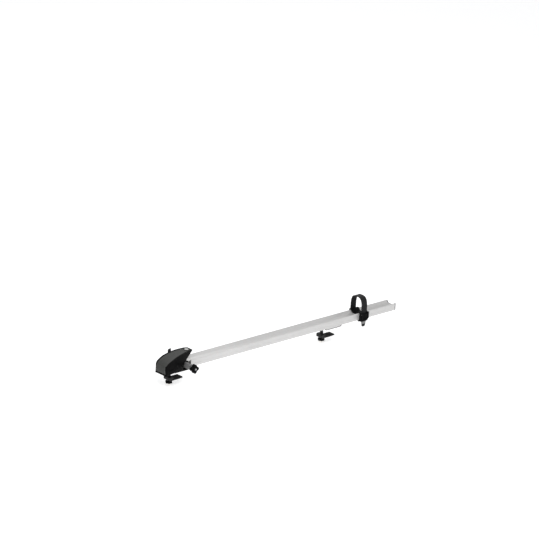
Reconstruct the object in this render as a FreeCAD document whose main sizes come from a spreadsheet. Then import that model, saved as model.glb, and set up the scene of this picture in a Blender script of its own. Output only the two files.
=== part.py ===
import FreeCAD, Part
import os
import re
import Sketcher

# Roof rack carrier: a skewer head, a long rail and a rear strap. Millimetres. X runs to
# the rear along the rail, Y to the lever side, Z up. The origin is the middle of the front bar seat.

SIZES = {
    # Rail
    "rail_front": 42,
    "rail_rear": 1176,
    "rail_width": 55,
    "rail_bottom": 9,
    "rail_top": 39.7,
    "trough_floor": 29.7,
    "lip_width": 4,
    "trough_slope_width": 9.5,
    "rail_wall": 2.2,
    "rail_chamfer": 3,
    "lip_chamfer": 1.5,
    "line_height": 22,
    "line_depth": 0.8,
    "slot_mouth_width": 9.2,
    "slot_width": 18.4,
    "slot_lip": 3,
    "slot_height": 7.6,
    "cap_thickness": 4,
    "cap_plug_length": 10,
    "plug_clearance": 0.1,
    # Head base and its bar seat
    "seat_length": 84,
    "seat_width": 52,
    "pad_thickness": 4,
    "base_front": -84,
    "base_rear": 41.7,
    "base_width": 45,
    "base_neck_start": 4,
    "base_neck_width": 20,
    "base_height": 60,
    "base_pocket_floor": 22,
    "base_pocket_front": -72,
    "base_pocket_rear": -14,
    "base_pocket_width": 38,
    "axle_cover": 4,
    "neck_drop": 6,
    "keeper_top": 69.5,
    "keeper_thickness": 4,
    "keeper_width": 14,
    "keeper_gap": 4.5,
    "pad_corner_radius": 3,
    # Hood
    "hood_width": 68,
    "hood_waist_width": 52,
    "hood_tip_width": 32,
    "hood_wall": 3,
    "hood_nose": -102,
    "hood_length": 159,
    "hood_height": 80,
    "hood_taper_start": -60,
    "nose_corner_length": 20,
    "nose_corner_depth": 11,
    "hood_bottom": 7,
    "hinge_forward": -88,
    "hinge_height": 1,
    "hinge_knuckle_radius": 4.5,
    "hinge_pin_radius": 2.5,
    "hinge_pin_length": 36,
    "hinge_knuckle_width": 12,
    "hinge_gap": 0.3,
    "pin_clearance": 0.05,
    # Lock
    "lock_setback": 19,
    "lock_radius": 8.5,
    "lock_face": 79.2,
    "lock_bottom": 63,
    "key_slot_length": 8,
    "key_slot_width": 1.8,
    "key_slot_depth": 3,
    "tongue_thickness": 2.5,
    "tongue_width": 5.6,
    "tongue_reach": 15,
    "tongue_tail": 4,
    "tongue_corner_radius": 2,
    # Axle and skewer
    "axle_forward": 22,
    "axle_height": 20,
    "sleeve_radius": 12,
    "sleeve_length": 100,
    "skewer_radius": 2.5,
    "sleeve_bore_radius": 4.6,
    "bush_radius": 2.55,
    "bush_length": 8,
    "dropout_gap": 8,
    "saddle_radius": 10,
    "saddle_thickness": 8,
    "saddle_lip": 3,
    "rod_stick_out": 3,
    "hub_stick_out": 2,
    "pin_end_gap": 0.5,
    "lever_pivot_out": 73,
    "lever_barrel_radius": 7,
    "lever_barrel_width": 19,
    "lever_slot_width": 6.4,
    "lever_length": 45,
    "lever_width": 13,
    "lever_thickness": 6,
    "lever_lean": 16,
    "lever_pin_radius": 2.5,
    "skewer_eye_radius": 5,
    "nut_flange_radius": 10,
    "nut_flange_thickness": 4,
    "nut_knob_radius": 19,
    "nut_knob_length": 15,
    "nut_lobe_radius": 7,
    "nut_lobe_count": 4,
    "nut_hub_radius": 6,
    # Bar clamps, the same at both bars
    "bar_width": 80,
    "bar_height": 26.5,
    "bolt_radius": 4,
    "bolt_clearance": 0.1,
    "bolt_forward": 49,
    "bolt_bottom": -47,
    "bolt_head_width": 13,
    "bolt_head_height": 5.5,
    "jaw_front": 62,
    "jaw_ear_top": -17,
    "jaw_boss_top": -5,
    "jaw_boss_radius": 7,
    "jaw_bottom": -33,
    "jaw_reach": 10,
    "jaw_slope_start": 20,
    "jaw_chamfer": 4,
    "jaw_edge_gap": 1.5,
    "jaw_pad_thickness": 2.5,
    "pad_margin": 2,
    "rib_pitch": 10,
    "rib_depth": 1,
    "front_jaw_width": 36,
    "rear_jaw_width": 34,
    "washer_radius": 9,
    "washer_thickness": 1.6,
    "knob_radius": 14.5,
    "knob_height": 12,
    "knob_lobe_count": 6,
    "knob_lobe_radius": 4.2,
    "knob_neck_height": 3,
    "knob_neck_radius": 10,
    "insert_radius": 7,
    # Rear clamp
    "rear_bar": 837,
    "saddle_width": 39,
    "saddle_gap": 0.1,
    "rear_pad_thickness": 2,
    "rear_pad_lip": 4,
    "rear_pad_lip_top": 7,
    "t_head_length": 17.6,
    "t_head_height": 5.4,
    "key_setback": 8,
    "key_wing_height": 4,
    "slider_clearance": 0.2,
    # Joint between head and rail
    "spigot_length": 60,
    "spigot_height": 7,
    "joint_screw_radius": 3,
    "joint_screw_head_radius": 4.4,
    "joint_screw_head_height": 4,
    "joint_screw_start": 14.4,
    "joint_screw_pitch": 24,
    # Wheel holder
    "holder_middle": 993,
    "holder_length": 44,
    "holder_wall": 3,
    "holder_clearance": 0.3,
    "holder_foot": 4,
    "holder_foot_reach": 7,
    "holder_floor": 2,
    "holder_corner": 2,
    "trough_margin": 1,
    "strap_width": 30,
    "strap_thickness": 3,
    "strap_top": 107,
    "strap_leg_gap": 0.4,
    "strap_bottom": 24,
    "strap_tail": -20,
    "tooth_height": 1.4,
    "tooth_start": -8,
    "tooth_margin": 5,
    "tooth_pitch": 6,
    "tooth_count": 11,
    "strap_clearance": 0.2,
    "buckle_width": 42,
    "buckle_depth": 12.5,
    "buckle_low": 6,
    "buckle_high": 43,
    "buckle_corner_radius": 3,
    "buckle_window_width": 26,
    "buckle_window_low": 8.5,
    "buckle_pin_radius": 2,
    "buckle_pin_height": 36,
    "buckle_pin_depth": 8.6,
    "paddle_radius": 3,
    "paddle_length": 26,
    "paddle_thickness": 3,
    "paddle_clearance": 0.5,
    "anchor_width": 34,
    "anchor_low": 20,
    "anchor_high": 41,
    "anchor_thickness": 4,
    "anchor_screw_radius": 2.2,
    "anchor_screw_head_radius": 4,
    "anchor_screw_head_height": 2.4,
    "anchor_screw_height": 30,
    "anchor_screw_spread": 18,
    # How far a cut or a cutting shape runs past the piece
    "beyond": 200,
}

# Side outlines, as parts of the piece's own length and height. The hood's also say how
# many walls further in along X and Z its inside runs.
BASE_SIDE = [
    (0.091, 0), (1, 0), (1, 0.679), (0.977, 0.893), (0.727, 0.857), (0.273, 0.679),
    (0.045, 0.5), (0, 0.214),
]
HOOD_SIDE = [
    (0.057, 0.062, 1, -1), (0.013, 0.15, 1, -0.7), (0, 0.275, 1, 0), (0.006, 0.538, 1, -0.5),
    (0.038, 0.6, 0.5, -1), (0.119, 0.681, 0, -1), (0.270, 0.769, 0, -1), (0.396, 0.844, 0, -1),
    (0.585, 0.925, 0, -1), (0.723, 0.969, 0, -1), (0.893, 1, -0.3, -1), (1, 0.975, -2, -1),
    (0.987, 0.938, -1.6, -0.7), (0.673, 0.412, 0, -2.7), (0.648, 0.3, 0, -2.7),
    (0.623, 0.112, 0, -2.7), (0.585, 0.088, 0, -2.7),
]
STRAP_ARCH = [
    (1, 0), (1, 0.337), (0.971, 0.554), (0.883, 0.795), (0.737, 0.916), (0.532, 0.976),
    (0.357, 1),
]

ORIGIN = FreeCAD.Vector(0, 0, 0)
doc = FreeCAD.newDocument("carrier")
sheet = doc.addObject("Spreadsheet::Sheet", "Sizes")
for row, (alias, number) in enumerate(SIZES.items(), start=1):
    sheet.set(f"A{row}", alias)
    sheet.set(f"B{row}", str(number))
    sheet.setAlias(f"B{row}", alias)
doc.recompute()


# Sketches and features
def formula(text):
    """A formula of sheet aliases, with the sheet's name put before each."""
    return re.sub(
        r"[a-z_]+", lambda word: "Sizes." + word[0] if word[0] in SIZES else word[0], str(text)
    )


def size(text):
    """The number that a formula of aliases gives now."""
    return float(sheet.evalExpression(formula(text)))


def new_body(name):
    """An empty body, in the plane directions of the document."""
    body = doc.addObject("PartDesign::Body", name)
    body.Label = name
    return body


def pin_point(sketch, geometry, point, across, up):
    """Hold one point of a sketch at two formulas."""
    for kind, text in (("DistanceX", across), ("DistanceY", up)):
        rule = Sketcher.Constraint(kind, -1, 1, geometry, point, size(text))
        index = sketch.addConstraint(rule)
        sketch.setExpression(f"Constraints[{index}]", formula(text))


def draw_loop(sketch, points):
    """A closed outline through points given as formulas."""
    first = len(sketch.Geometry)
    spots = [FreeCAD.Vector(size(across), size(up), 0) for across, up in points]
    count = len(spots)
    for step in range(count):
        line = Part.LineSegment(spots[step], spots[(step + 1) % count])
        sketch.addGeometry(line, False)
    for step in range(count):
        after = first + (step + 1) % count
        sketch.addConstraint(Sketcher.Constraint("Coincident", first + step, 2, after, 1))
    for step, (across, up) in enumerate(points):
        pin_point(sketch, first + step, 1, across, up)


def draw_circle(sketch, across, up, radius):
    """A circle whose middle and radius are formulas."""
    middle = FreeCAD.Vector(size(across), size(up), 0)
    index = sketch.addGeometry(Part.Circle(middle, FreeCAD.Vector(0, 0, 1), size(radius)), False)
    rule = sketch.addConstraint(Sketcher.Constraint("Radius", index, size(radius)))
    sketch.setExpression(f"Constraints[{rule}]", formula(radius))
    pin_point(sketch, index, 3, across, up)


def new_sketch(body, plane, offset, shapes):
    """A sketch on one of the body's own planes, moved along its normal."""
    sketch = body.newObject("Sketcher::SketchObject", body.Name + "_sketch")
    role = plane + "_Plane"
    origin = [feature for feature in body.Origin.OriginFeatures if feature.Role == role][0]
    sketch.AttachmentSupport = [(origin, "")]
    sketch.MapMode = "FlatFace"
    sketch.setExpression("AttachmentOffset.Base.z", formula(offset))
    for shape in shapes:
        if len(shape) == 3 and isinstance(shape[0], str):
            draw_circle(sketch, *shape)
        else:
            draw_loop(sketch, shape)
    return sketch


def add(body, plane, low, high, *shapes):
    """Add material between two heights along X, Y or Z."""
    base = f"-({high})" if plane == "XZ" else low
    feature = body.newObject("PartDesign::Pad", body.Name + "_added")
    feature.Profile = new_sketch(body, plane, base, shapes)
    feature.setExpression("Length", formula(f"({high}) - ({low})"))
    doc.recompute()
    return feature


def cut(body, plane, low, high, *shapes):
    """Take material away between two heights along X, Y or Z."""
    base = f"-({low})" if plane == "XZ" else high
    before = body.Shape.Volume
    feature = body.newObject("PartDesign::Pocket", body.Name + "_cut")
    feature.Profile = new_sketch(body, plane, base, shapes)
    feature.setExpression("Length", formula(f"({high}) - ({low})"))
    doc.recompute()
    if body.Shape.Volume > before - 0.01:
        raise ValueError("a pocket took nothing from " + body.Label)
    return feature


def round_edges(body, radius, wanted):
    """Round the edges whose middle point passes a test."""
    last = body.Tip
    names = []
    for number, edge in enumerate(last.Shape.Edges, start=1):
        middle = edge.valueAt((edge.FirstParameter + edge.LastParameter) / 2)
        if wanted(middle, edge):
            names.append(f"Edge{number}")
    feature = body.newObject("PartDesign::Fillet", body.Name + "_round")
    feature.Base = (last, names)
    feature.setExpression("Radius", formula(radius))
    doc.recompute()
    return feature


def upright(middle, edge):
    """Whether an edge stands along Z."""
    return abs(edge.tangentAt(edge.FirstParameter).z) > 0.9


def box(low_across, high_across, low_up, high_up):
    """The four corners of an upright rectangle."""
    return [
        (low_across, low_up),
        (high_across, low_up),
        (high_across, high_up),
        (low_across, high_up),
    ]


def mirrored(half):
    """A whole outline from its right half, listed from bottom to top."""
    other = [(f"-({across})", up) for across, up in reversed(half) if across != "0"]
    return half + other


def floor_half():
    """Half of the flat floor of the rail's trough, as a formula."""
    return "(rail_width / 2 - lip_width - trough_slope_width)"


def mouth_half():
    """Half of the open top of the rail's trough, as a formula."""
    return "(rail_width / 2 - lip_width)"


def leg_face():
    """The outer face of the wheel holder's legs, as a formula."""
    return "(rail_width / 2 + holder_clearance + holder_wall)"


def strap_face():
    """The outer face of the strap beside the rail, as a formula."""
    return f"({leg_face()} + strap_leg_gap + strap_thickness)"


def hood_tip():
    """The rear end of the hood along X, as a formula."""
    return "(hood_nose + hood_length)"


def lock_spot():
    """Where the lock stands along X, before the hood's rear end, as a formula."""
    return f"({hood_tip()} - lock_setback)"


def lobes(body, plane, low, high, reach, lobe):
    """A round core about the body's own axis and one lobe at its edge."""
    add(body, plane, low, high, ("0", "0", f"({reach}) - ({lobe}) * 0.55"))
    return add(body, plane, low, high, (f"({reach}) - ({lobe})", "0", lobe))


def ring_of(body, feature, count):
    """Repeat a feature round its sketch's middle."""
    pattern = body.newObject("PartDesign::PolarPattern", body.Name + "_ring")
    pattern.Originals = [feature]
    pattern.Axis = (feature.Profile[0], ["N_Axis"])
    pattern.Angle = 360
    pattern.setExpression("Occurrences", formula(count))
    body.Tip = pattern
    doc.recompute()
    return pattern


# Rail
def make_rail():
    """The extruded rail: a trough above, a slot below and a hollow at each side."""
    rail = new_body("rail")
    side = "rail_width / 2"
    outer = mirrored([
        ("slot_mouth_width / 2", "rail_bottom"),
        (f"{side} - rail_chamfer", "rail_bottom"),
        (side, "rail_bottom + rail_chamfer"),
        (side, "line_height - line_depth"),
        (f"{side} - line_depth", "line_height"),
        (side, "line_height + line_depth"),
        (side, "rail_top - lip_chamfer"),
        (f"{side} - lip_chamfer", "rail_top"),
        (mouth_half(), "rail_top"),
        (floor_half(), "trough_floor"),
    ])
    slot = [
        ("-(slot_mouth_width / 2)", "rail_bottom + slot_lip"),
        ("-(slot_width / 2)", "rail_bottom + slot_lip"),
        ("-(slot_width / 2)", "rail_bottom + slot_lip + slot_height"),
        ("slot_width / 2", "rail_bottom + slot_lip + slot_height"),
        ("slot_width / 2", "rail_bottom + slot_lip"),
        ("slot_mouth_width / 2", "rail_bottom + slot_lip"),
    ]
    add(rail, "YZ", "rail_front", "rail_rear", outer + slot)
    inner = "slot_width / 2 + rail_wall"
    hollow_side = "rail_width / 2 - rail_wall - line_depth"
    hollow = [
        (inner, "rail_bottom + rail_wall"),
        (f"{hollow_side} - rail_chamfer", "rail_bottom + rail_wall"),
        (hollow_side, "rail_bottom + rail_wall + rail_chamfer"),
        (hollow_side, "rail_top - 2 * rail_wall"),
        (f"{floor_half()} + rail_wall", "trough_floor - rail_wall"),
        (inner, "trough_floor - rail_wall"),
    ]
    other = [(f"-({across})", up) for across, up in reversed(hollow)]
    middle = box(
        "-(slot_width / 2)", "slot_width / 2",
        "rail_bottom + slot_lip + slot_height + rail_wall", "trough_floor - rail_wall",
    )
    cut(rail, "YZ", "rail_front", "rail_rear", hollow, other, middle)
    return rail


def make_rear_end_cap():
    """The moulded cap that closes the rail's rear end, with a plug in each side hollow."""
    cap = new_body("rear_end_cap")
    side = "rail_width / 2"
    outline = mirrored([
        (f"{side} - rail_chamfer", "rail_bottom"),
        (side, "rail_bottom + rail_chamfer"),
        (side, "rail_top - lip_chamfer"),
        (f"{side} - lip_chamfer", "rail_top"),
        (mouth_half(), "rail_top"),
        (floor_half(), "trough_floor"),
    ])
    add(cap, "YZ", "rail_rear", "rail_rear + cap_thickness", outline)
    inner = "slot_width / 2 + rail_wall + plug_clearance"
    outer = "rail_width / 2 - rail_wall - line_depth - plug_clearance"
    low = "rail_bottom + rail_wall + rail_chamfer"
    high = "trough_floor - rail_wall - plug_clearance"
    plug = box(inner, outer, low, high)
    other = box(f"-({outer})", f"-({inner})", low, high)
    add(cap, "YZ", "rail_rear - cap_plug_length", "rail_rear", plug, other)
    return cap


# Head
def make_head_base():
    """The casting that sits on the front bar, holds the axle sleeve and meets the rail."""
    base = new_body("head_base")
    foot = "pad_thickness"
    rise = "axle_height + sleeve_radius + axle_cover"
    wide = [
        (f"base_front + (base_neck_start - base_front) * {along}",
         f"{foot} + (base_height - {foot}) * {up}")
        for along, up in BASE_SIDE
    ]
    add(base, "XZ", "-(base_width / 2)", "base_width / 2", wide)
    neck = [
        ("base_neck_start - axle_cover", foot),
        ("base_rear", foot),
        ("base_rear", f"{rise} - neck_drop"),
        ("axle_forward + sleeve_radius - axle_cover", rise),
        ("base_neck_start - axle_cover", rise),
    ]
    add(base, "XZ", "-(base_neck_width / 2)", "base_neck_width / 2", neck)
    cut(
        base, "XY", "base_pocket_floor", "beyond",
        box("base_pocket_front", "base_pocket_rear",
            "-(base_pocket_width / 2)", "base_pocket_width / 2"),
    )
    keeper_rear = f"{lock_spot()} - lock_radius - keeper_gap"
    keeper = [
        ("base_pocket_rear", "base_height - 3 * keeper_thickness"),
        ("base_neck_start - axle_cover / 2", "base_height - 2 * keeper_thickness"),
        (keeper_rear, "keeper_top - keeper_thickness"),
        (keeper_rear, "keeper_top"),
        ("base_neck_start - axle_cover", "base_height + keeper_thickness"),
        ("base_pocket_rear", "base_height - keeper_thickness"),
    ]
    add(base, "XZ", "-(keeper_width / 2)", "keeper_width / 2", keeper)
    cut(
        base, "XZ", "-(base_width / 2)", "base_width / 2",
        ("axle_forward", "axle_height", "sleeve_radius"),
    )
    cut(
        base, "XY", "0", "base_pocket_floor",
        ("-(bolt_forward)", "0", "bolt_radius + bolt_clearance"),
    )
    root = "hinge_forward + 4 * axle_cover"
    knuckle = [
        ("hinge_forward", "hinge_height + hinge_knuckle_radius"),
        ("hinge_forward - hinge_knuckle_radius", "hinge_height"),
        ("hinge_forward", "hinge_height - hinge_knuckle_radius"),
        (root, f"{foot} + hinge_knuckle_radius / 4"),
        (root, f"{foot} + 2 * hinge_knuckle_radius"),
    ]
    add(base, "XZ", "-(hinge_knuckle_width / 2)", "hinge_knuckle_width / 2", knuckle)
    cut(
        base, "XZ", "-(hinge_knuckle_width)", "hinge_knuckle_width",
        ("hinge_forward", "hinge_height", "hinge_pin_radius + pin_clearance"),
    )
    half = "slot_width / 2 - plug_clearance"
    end = "base_rear + spigot_length"
    add(
        base, "YZ", "base_rear - axle_cover / 4", end,
        box(f"-({half})", half, spigot_low(), f"{spigot_low()} + spigot_height"),
    )
    for spot in joint_screw_spots():
        cut(
            base, "XY", spigot_low(), f"{spigot_low()} + spigot_height",
            (spot, "0", "joint_screw_radius"),
        )
    return base


def make_front_bar_pad():
    """The rubber pad between the head and the front bar; its lower face is the seat."""
    pad = new_body("front_bar_pad")
    half = "seat_length / 2"
    outline = box(f"-({half})", half, "-(seat_width / 2)", "seat_width / 2")
    add(pad, "XY", "0", "pad_thickness", outline)
    round_edges(pad, "pad_corner_radius", upright)
    return pad


def hood_side(inside):
    """The hood's side outline in X and Z: outside where inside is 0, inside where it is 1."""
    return [
        (f"hood_nose + hood_length * {along} + hood_wall * {inside * walls_along}",
         f"hood_height * {up} + hood_wall * {inside * walls_up}")
        for along, up, walls_along, walls_up in HOOD_SIDE
    ]


def hood_plan():
    """The two strips in X and Y that the hood's taper leaves out of its side outline."""
    tip = "hood_tip_width / 2"
    near = [
        ("hood_taper_start", "-(hood_width / 2)"), ("base_neck_start", "-(hood_waist_width / 2)"),
        (hood_tip(), f"-({tip})"), ("beyond", f"-({tip})"),
        ("beyond", "-(beyond)"), ("hood_taper_start", "-(beyond)"),
    ]
    far = [(across, f"-({up})") for across, up in reversed(near)]
    return near, far


def make_hood():
    """The lockable cover: a tapered shell open below, hinged at its nose."""
    block = new_body("hood_block")
    half = "hood_width / 2"
    add(block, "XZ", f"-({half})", half, hood_side(0))
    cut(block, "XY", "0", "beyond", *hood_plan())
    length, depth = "nose_corner_length", "nose_corner_depth"
    nose_cut = [
        (f"hood_nose - {depth}", half),
        (f"hood_nose - {depth}", "beyond"),
        (f"hood_nose + {length}", "beyond"),
        (f"hood_nose + {length}", f"{half} + {depth} / 6"),
        (f"hood_nose + {length} * 0.375", f"{half} - {depth} / 4"),
        (f"hood_nose + {length} * 0.094", f"{half} - {depth}"),
    ]
    other_cut = [(across, f"-({up})") for across, up in reversed(nose_cut)]
    cut(block, "XY", "-(beyond)", "beyond", nose_cut, other_cut)
    side = "hood_width / 2 - hood_wall"
    tip_side = "hood_tip_width / 2 - hood_wall"
    half_plan = [
        (f"hood_nose + hood_wall + {length} * 0.2", f"{side} - {depth} * 0.8"),
        (f"hood_nose + hood_wall + {length} * 0.62", side),
        ("hood_taper_start", side),
        ("base_neck_start", "hood_waist_width / 2 - hood_wall"),
        (f"{hood_tip()} - 1.3 * hood_wall", tip_side),
    ]
    other_plan = [(across, f"-({up})") for across, up in reversed(half_plan)]
    hollow = new_body("hood_hollow")
    add(hollow, "XZ", f"-({side})", side, hood_side(1))
    tool = new_body("hood_taper")
    add(tool, "XY", "-(beyond)", "beyond", half_plan + other_plan)
    core = doc.addObject("Part::Common", "hood_core")
    core.Base = hollow
    core.Tool = tool
    shell = doc.addObject("Part::Cut", "hood_shell")
    shell.Base = block
    shell.Tool = core
    lugs = new_body("hood_lugs")
    knuckle = "hinge_knuckle_radius"
    lug = [
        (f"hinge_forward + {knuckle}", "hinge_height"),
        (f"hinge_forward + {knuckle} / 2", f"hinge_height + {knuckle}"),
        ("hood_nose + 2 * hood_wall", "hood_bottom + 2 * hood_wall"),
        ("hood_nose + 2 * hood_wall", "hood_bottom - hood_wall / 2"),
        (f"hinge_forward - {knuckle} * 0.7", f"hinge_height - {knuckle} * 0.8"),
        ("hinge_forward", f"hinge_height - {knuckle}"),
        (f"hinge_forward + {knuckle} * 0.7", f"hinge_height - {knuckle} * 0.8"),
    ]
    inner, outer = "hinge_knuckle_width / 2 + hinge_gap", "hinge_pin_length / 2"
    for low, high in ((inner, outer), (f"-({outer})", f"-({inner})")):
        add(lugs, "XZ", low, high, lug)
    whole = doc.addObject("Part::Fuse", "hood_whole")
    whole.Base = shell
    whole.Tool = lugs
    bores = new_body("hood_bores")
    add(
        bores, "XZ", "-(beyond)", "beyond",
        ("hinge_forward", "hinge_height", "hinge_pin_radius + pin_clearance"),
    )
    add(
        bores, "XY", "lock_bottom", "beyond",
        (lock_spot(), "0", "lock_radius + pin_clearance"),
    )
    hood = doc.addObject("Part::Cut", "hood")
    hood.Base = whole
    hood.Tool = bores
    doc.recompute()
    return hood


def make_hood_hinge_pin():
    """The pin that the hood turns on."""
    pin = new_body("hood_hinge_pin")
    half = "hinge_pin_length / 2"
    add(pin, "XZ", f"-({half})", half, ("hinge_forward", "hinge_height", "hinge_pin_radius"))
    return pin


def make_lock_cylinder():
    """The lock's barrel, with a slot for its key."""
    lock = new_body("lock_cylinder")
    add(lock, "XY", "lock_bottom", "lock_face", (lock_spot(), "0", "lock_radius"))
    long_half, half = "key_slot_length / 2", "key_slot_width / 2"
    cut(
        lock, "XY", "lock_face - key_slot_depth", "lock_face",
        box(f"{lock_spot()} - {long_half}", f"{lock_spot()} + {long_half}", f"-({half})", half),
    )
    return lock


def make_lock_tongue():
    """The cam under the barrel that swings below the keeper."""
    tongue = new_body("lock_tongue")
    low = "lock_bottom - tongue_thickness"
    half = "tongue_width / 2"
    add(
        tongue, "XY", low, "lock_bottom",
        box(f"{lock_spot()} - {half}", f"{lock_spot()} + {half}", "-(tongue_tail)", "tongue_reach"),
    )
    round_edges(tongue, "tongue_corner_radius", upright)
    return tongue


# Axle and skewer
def make_axle_sleeve():
    """The cross tube between the skewer's two clamping ends, bushed for its rod."""
    sleeve = new_body("axle_sleeve")
    half = "sleeve_length / 2"
    add(sleeve, "XZ", f"-({half})", half, ("axle_forward", "axle_height", "sleeve_radius"))
    cut(sleeve, "XZ", f"-({half})", half, ("axle_forward", "axle_height", "sleeve_bore_radius"))
    for side in (1, -1):
        ends = sorted((f"{side} * ({half})", f"{side} * ({half} - bush_length)"), key=size)
        add(
            sleeve, "XZ", *ends,
            ("axle_forward", "axle_height", "sleeve_bore_radius"),
            ("axle_forward", "axle_height", "bush_radius"),
        )
    return sleeve


def make_skewer_rod():
    """The skewer's rod, with an eye at the lever end for the lever's pin."""
    rod = new_body("skewer_rod")
    nut_end = "sleeve_length / 2 + dropout_gap + nut_flange_thickness + nut_knob_length"
    lever_end = "lever_pivot_out - lever_pin_radius - 2 * pin_clearance"
    add(
        rod, "XZ", f"-({nut_end} + rod_stick_out)", lever_end,
        ("axle_forward", "axle_height", "skewer_radius"),
    )
    return rod


def place_on_skewer(body):
    """Turn a piece drawn about the lever's pivot to where the closed lever leans."""
    spot = FreeCAD.Vector(size("axle_forward"), size("lever_pivot_out"), size("axle_height"))
    lean = FreeCAD.Rotation(FreeCAD.Vector(0, 1, 0), -size("lever_lean"))
    body.Placement = FreeCAD.Placement(spot, lean)


def make_skewer_eye():
    """The eye screwed on the rod's end, which the lever's pin goes through."""
    eye = new_body("skewer_eye")
    half = "lever_slot_width / 2 - pin_clearance"
    add(eye, "YZ", f"-({half})", half, ("0", "0", "skewer_eye_radius"))
    cut(eye, "XZ", "-(beyond)", "0", ("0", "0", "skewer_radius"))
    cut(eye, "YZ", f"-({half})", half, ("0", "0", "lever_pin_radius"))
    place_on_skewer(eye)
    return eye


def make_lever_pin():
    """The barrel pin that joins the lever to the rod's eye."""
    pin = new_body("lever_pin")
    half = "lever_barrel_width / 2 - pin_end_gap"
    add(pin, "YZ", f"-({half})", half, ("0", "0", "lever_pin_radius"))
    place_on_skewer(pin)
    return pin


def make_lever_saddle():
    """The thrust washer that the lever's barrel presses on."""
    saddle = new_body("lever_saddle")
    inner = "-(lever_pivot_out - sleeve_length / 2 - dropout_gap)"
    outer = f"{inner} + saddle_thickness + saddle_lip"
    add(saddle, "XZ", inner, outer, ("0", "0", "saddle_radius"))
    cut(
        saddle, "YZ", "-(beyond)", "beyond",
        ("0", "0", "lever_barrel_radius + pin_clearance"),
    )
    cut(saddle, "XZ", "-(beyond)", "0", ("0", "0", "skewer_radius + pin_clearance"))
    place_on_skewer(saddle)
    return saddle


def make_skewer_lever():
    """The cam lever: two round cheeks about the pin and an arm that reaches up."""
    lever = new_body("skewer_lever")
    half = "lever_barrel_width / 2"
    add(lever, "YZ", f"-({half})", half, ("0", "0", "lever_barrel_radius"))
    thick = "lever_thickness"
    arm = [
        ("0", f"{thick} / 2"),
        (thick, f"{thick} / 2"),
        (thick, "lever_length * 0.45"),
        (f"{thick} / 3", f"lever_length - {thick} * 0.7"),
        ("0", "lever_length"),
        (f"-({thick} * 0.7)", "lever_length"),
        (f"-({thick} * 0.7)", f"lever_length - {thick}"),
        ("0", "lever_length * 0.4"),
    ]
    add(lever, "YZ", "-(lever_width / 2)", "lever_width / 2", arm)
    cut(
        lever, "YZ", "-(lever_slot_width / 2)", "lever_slot_width / 2",
        box("-(lever_barrel_radius * 2)", "lever_barrel_radius * 2",
            "-(lever_barrel_radius * 2)", "lever_barrel_radius * 1.15"),
    )
    cut(
        lever, "YZ", f"-({half})", half,
        ("0", "0", "lever_pin_radius + pin_clearance"),
    )
    place_on_skewer(lever)
    return lever


def make_nut_core():
    """The skewer's metal nut: a flange that grips and a hub through the knob."""
    core = new_body("nut_core")
    face = "-(sleeve_length / 2 + dropout_gap)"
    flange = f"{face} - nut_flange_thickness"
    outer = f"{flange} - nut_knob_length - hub_stick_out"
    bore = ("axle_forward", "axle_height", "skewer_radius + pin_clearance")
    add(core, "XZ", flange, face, ("axle_forward", "axle_height", "nut_flange_radius"), bore)
    add(core, "XZ", outer, flange, ("axle_forward", "axle_height", "nut_hub_radius"), bore)
    return core


def make_adjusting_knob():
    """The lobed grip moulded on the skewer's nut."""
    knob = new_body("adjusting_knob")
    high = "-(sleeve_length / 2 + dropout_gap + nut_flange_thickness)"
    low = f"{high} - nut_knob_length"
    lobe = lobes(knob, "XZ", low, high, "nut_knob_radius", "nut_lobe_radius")
    ring_of(knob, lobe, "nut_lobe_count")
    cut(knob, "XZ", low, high, ("0", "0", "nut_hub_radius"))
    knob.Placement.Base = FreeCAD.Vector(size("axle_forward"), 0, size("axle_height"))
    return knob


# Bar clamps
def move_to_bar(body, bar):
    """Move a clamp piece, drawn about the front bar, to the bar it belongs to."""
    body.Placement.Base = FreeCAD.Vector(size(bar), 0, 0)


def plate_top():
    """The upper face of a jaw's plate, a pad below the bar, as a formula."""
    return "(-(bar_height) - jaw_pad_thickness)"


def make_jaw(name, bar, width):
    """The lower jaw: an ear on the bolt, a boss that rises beside the bar, a plate below."""
    jaw = new_body(name)
    half = f"{width} / 2"
    edge = "-(bar_width / 2 + jaw_edge_gap)"
    side = [
        ("-(jaw_front)", "jaw_ear_top - jaw_chamfer / 2"),
        ("-(jaw_front)", "jaw_bottom + jaw_chamfer"),
        ("-(jaw_front) + jaw_chamfer", "jaw_bottom"),
        ("-(jaw_slope_start)", "jaw_bottom"),
        ("jaw_reach", f"({plate_top()} + jaw_bottom) / 2"),
        ("jaw_reach", plate_top()),
        (edge, plate_top()),
        (edge, "jaw_ear_top"),
        ("-(jaw_front) + jaw_chamfer", "jaw_ear_top"),
    ]
    add(jaw, "XZ", f"-({half})", half, side)
    low = "jaw_ear_top - jaw_chamfer / 4"
    add(jaw, "XY", low, "jaw_boss_top", ("-(bolt_forward)", "0", "jaw_boss_radius"))
    cut(
        jaw, "XY", "jaw_bottom", "jaw_boss_top",
        ("-(bolt_forward)", "0", "bolt_radius + bolt_clearance"),
    )
    move_to_bar(jaw, bar)
    return jaw


def make_jaw_pad(name, bar, width):
    """The ribbed rubber on the jaw's plate."""
    pad = new_body(name)
    half = f"({width} / 2 - pad_margin)"
    edge = "-(bar_width / 2) + pad_margin"
    high = "-(bar_height)"
    outline = box(edge, "jaw_reach - pad_margin / 2", f"-({half})", half)
    add(pad, "XY", plate_top(), high, outline)
    for rib in range(4):
        start = f"{edge} + rib_pitch * {rib + 0.6}"
        groove = box(start, f"{start} + rib_pitch * 0.4", f"-({half})", half)
        cut(pad, "XY", f"{high} - rib_depth", high, groove)
    move_to_bar(pad, bar)
    return pad


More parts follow.
